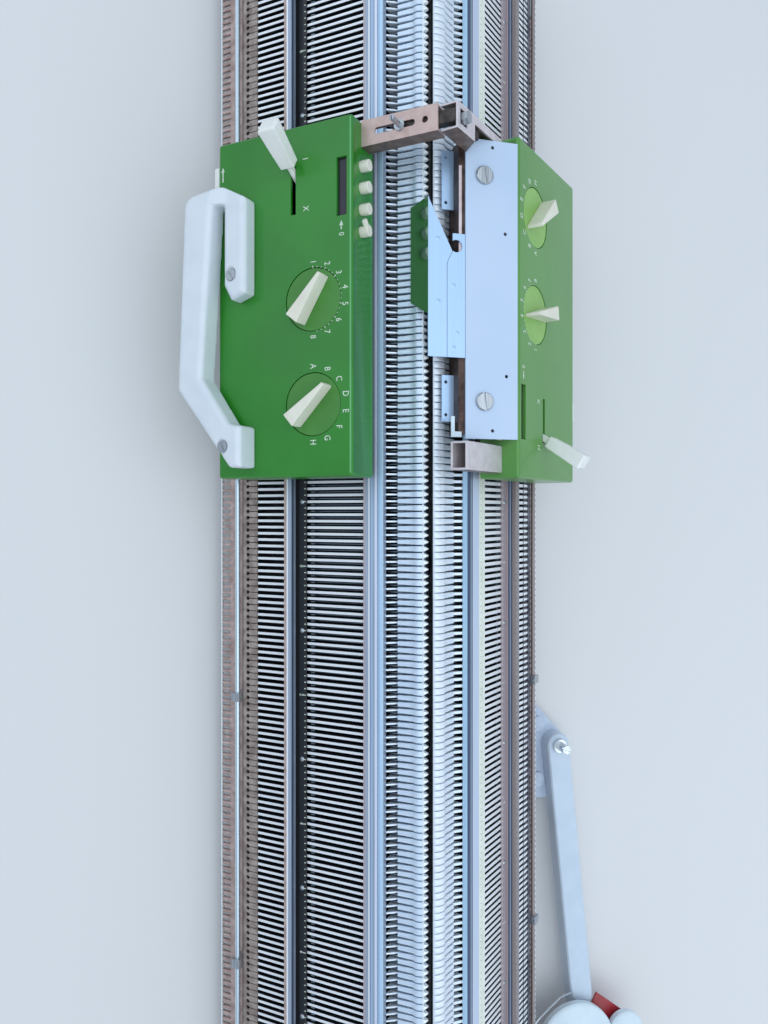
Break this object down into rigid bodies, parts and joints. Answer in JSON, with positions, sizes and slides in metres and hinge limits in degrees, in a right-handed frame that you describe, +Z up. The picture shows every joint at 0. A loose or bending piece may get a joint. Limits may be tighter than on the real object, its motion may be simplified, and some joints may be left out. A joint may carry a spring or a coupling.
{
  "type": "domestic knitting machine",
  "caption": "Double-bed knitting machine: two ribbed needle beds leaning together, a pair of green lock carriages joined over the ridge, a handle and a swing arm.",
  "frame": {"origin": "middle of the machine's length under the throat, at the level of the table", "axes": "+X along the beds to the operator's right, +Y away from the operator, +Z up"},
  "size_m": [1.09, 0.4223, 0.195],
  "materials": {
    "arm_white": "glossy white",
    "back_green": "semi-gloss light green",
    "base_steel": "oiled",
    "bed_steel": "ground, slightly oily",
    "black_strip": "satin black with pale marks",
    "bow_steel": "tarnished plate",
    "bracket_grey": "painted grey",
    "carrier_steel": "dull",
    "cover_white": "pale blue-white enamel",
    "cream_plastic": "glossy cream",
    "dial_back_green": "semi-gloss light green",
    "dial_front_green": "semi-gloss green",
    "disc_white": "glossy white",
    "foot_rubber": "matt",
    "frame_paint": "satin grey",
    "front_green": "semi-gloss green",
    "guide_steel": "brushed",
    "handle_white": "glossy white",
    "heel_brown": "aged brown",
    "key_colour": "glossy",
    "lever_white": "glossy white",
    "link_steel": "dark",
    "needle_steel": "polished",
    "pin_steel": "bright",
    "plate_red": "gloss red",
    "rail_aluminium": "satin",
    "rail_steel": "oiled",
    "rod_steel": "bright",
    "screw_steel": "bright",
    "slider_white": "glossy",
    "window_strip": "dark smoked strip",
    "wire_steel": "bright wire"
  },
  "bodies": {
    "beds": {"front_needle_bed": "bed_steel", "back_needle_bed": "bed_steel", "front_ridge_rail": "rail_aluminium", "back_ridge_rail": "rail_aluminium", "front_heel_strip": "heel_brown", "back_heel_strip": "heel_brown", "number_strips": "black_strip", "lock_rails": "rail_steel", "rod_posts": "rod_steel", "long_rods": "rod_steel", "bed_bars": "rail_steel", "left_end_frame": "frame_paint", "right_end_frame": "frame_paint", "middle_foot": "frame_paint", "rubber_feet": "foot_rubber", "arm_bracket": "bracket_grey", "arm_pin": "pin_steel"},
    "carriage": {"front_lock_cover": "front_green", "back_lock_cover": "back_green", "front_lock_base": "base_steel", "back_lock_base": "base_steel", "cam_plates": "base_steel", "window_strips": "window_strip", "handle": "handle_white", "bow_front_half": "bow_steel", "bow_back_half": "bow_steel", "bow_stub": "bow_steel", "bow_link": "link_steel", "cover_plate": "cover_white", "cover_carrier": "carrier_steel", "yarn_guide": "guide_steel", "stripper_bars": "guide_steel", "carriage_screws": "screw_steel"},
    "front_needle_row": {"front_needles": "needle_steel"},
    "back_needle_row": {"back_needles": "needle_steel"},
    "arm": {"swing_arm": "arm_white", "tension_plate": "plate_red", "tension_discs": "disc_white", "take_up_wire": "wire_steel"},
    "front_stitch_knob": {"front_stitch_dial": "dial_front_green", "front_stitch_pointer": "cream_plastic"},
    "front_letter_knob": {"front_letter_dial": "dial_front_green", "front_letter_pointer": "cream_plastic"},
    "front_lever": {"front_slot_lever": "lever_white"},
    "front_push_key_1": {"front_key_1": "key_colour"},
    "front_push_key_2": {"front_key_2": "key_colour"},
    "front_push_key_3": {"front_key_3": "key_colour"},
    "front_turning_key": {"front_turn_key": "key_colour"},
    "front_slider": {"front_side_slider": "slider_white"},
    "back_stitch_knob": {"back_stitch_dial": "dial_back_green", "back_stitch_pointer": "cream_plastic"},
    "back_letter_knob": {"back_letter_dial": "dial_back_green", "back_letter_pointer": "cream_plastic"},
    "back_lever": {"back_slot_lever": "lever_white"},
    "back_push_key_1": {"back_key_1": "key_colour"},
    "back_push_key_2": {"back_key_2": "key_colour"},
    "back_push_key_3": {"back_key_3": "key_colour"},
    "back_turning_key": {"back_turn_key": "key_colour"},
    "back_slider": {"back_side_slider": "slider_white"}
  },
  "joints": [
    {"name": "carriage_slide", "type": "slide", "parent": "beds", "child": "carriage", "axis": [1, 0, 0], "range_m": [-0.222, 0.608]},
    {"name": "front_needle_slide", "type": "slide", "parent": "beds", "child": "front_needle_row", "axis": [0, 0.7501, 0.6613], "range_m": [0, 0.01]},
    {"name": "back_needle_slide", "type": "slide", "parent": "beds", "child": "back_needle_row", "axis": [0, -0.7501, 0.6613], "range_m": [0, 0.01]},
    {"name": "arm_swing", "type": "hinge", "parent": "beds", "child": "arm", "pos_m": [0.174, 0.164, 0.02], "axis": [0, 0, 1], "range_deg": [0, 80]},
    {"name": "front_stitch_turn", "type": "hinge", "parent": "carriage", "child": "front_stitch_knob", "pos_m": [-0.193, -0.08586, 0.13729], "axis": [0, -0.6613, 0.7501], "range_deg": [-142.4, 37.6]},
    {"name": "front_letter_turn", "type": "hinge", "parent": "carriage", "child": "front_letter_knob", "pos_m": [-0.1185, -0.08586, 0.13729], "axis": [0, -0.6613, 0.7501], "range_deg": [-130.3, 49.7]},
    {"name": "front_lever_tilt", "type": "hinge", "parent": "carriage", "child": "front_lever", "pos_m": [-0.27275, -0.08468, 0.11101], "axis": [0, 0.7501, 0.6613], "range_deg": [0, 64]},
    {"name": "front_key_1_press", "type": "slide", "parent": "carriage", "child": "front_push_key_1", "axis": [0, -0.7501, -0.6613], "range_m": [0, 0.003], "stiffness_N_per_m": 300},
    {"name": "front_key_2_press", "type": "slide", "parent": "carriage", "child": "front_push_key_2", "axis": [0, -0.7501, -0.6613], "range_m": [0, 0.003], "stiffness_N_per_m": 300},
    {"name": "front_key_3_press", "type": "slide", "parent": "carriage", "child": "front_push_key_3", "axis": [0, -0.7501, -0.6613], "range_m": [0, 0.003], "stiffness_N_per_m": 300},
    {"name": "front_turn_key_turn", "type": "hinge", "parent": "carriage", "child": "front_turning_key", "pos_m": [-0.2405, -0.0533, 0.148], "axis": [0, 0.7501, 0.6613], "range_deg": [-90, 0]},
    {"name": "front_slider_slide", "type": "slide", "parent": "carriage", "child": "front_slider", "axis": [1, 0, 0], "range_m": [0, 0.036]},
    {"name": "back_stitch_turn", "type": "hinge", "parent": "carriage", "child": "back_stitch_knob", "pos_m": [-0.193, 0.08586, 0.13729], "axis": [0, 0.6613, 0.7501], "range_deg": [-101.4, 78.6]},
    {"name": "back_letter_turn", "type": "hinge", "parent": "carriage", "child": "back_letter_knob", "pos_m": [-0.2675, 0.08586, 0.13729], "axis": [0, 0.6613, 0.7501], "range_deg": [-127.8, 52.2]},
    {"name": "back_lever_tilt", "type": "hinge", "parent": "carriage", "child": "back_lever", "pos_m": [-0.11325, 0.08468, 0.11101], "axis": [0, -0.7501, 0.6613], "range_deg": [0, 64]},
    {"name": "back_key_1_press", "type": "slide", "parent": "carriage", "child": "back_push_key_1", "axis": [0, 0.7501, -0.6613], "range_m": [0, 0.003], "stiffness_N_per_m": 300},
    {"name": "back_key_2_press", "type": "slide", "parent": "carriage", "child": "back_push_key_2", "axis": [0, 0.7501, -0.6613], "range_m": [0, 0.003], "stiffness_N_per_m": 300},
    {"name": "back_key_3_press", "type": "slide", "parent": "carriage", "child": "back_push_key_3", "axis": [0, 0.7501, -0.6613], "range_m": [0, 0.003], "stiffness_N_per_m": 300},
    {"name": "back_turn_key_turn", "type": "hinge", "parent": "carriage", "child": "back_turning_key", "pos_m": [-0.1455, 0.0533, 0.148], "axis": [0, -0.7501, 0.6613], "range_deg": [-45, 0]},
    {"name": "back_slider_slide", "type": "slide", "parent": "carriage", "child": "back_slider", "axis": [1, 0, 0], "range_m": [0, 0.036]}
  ]
}
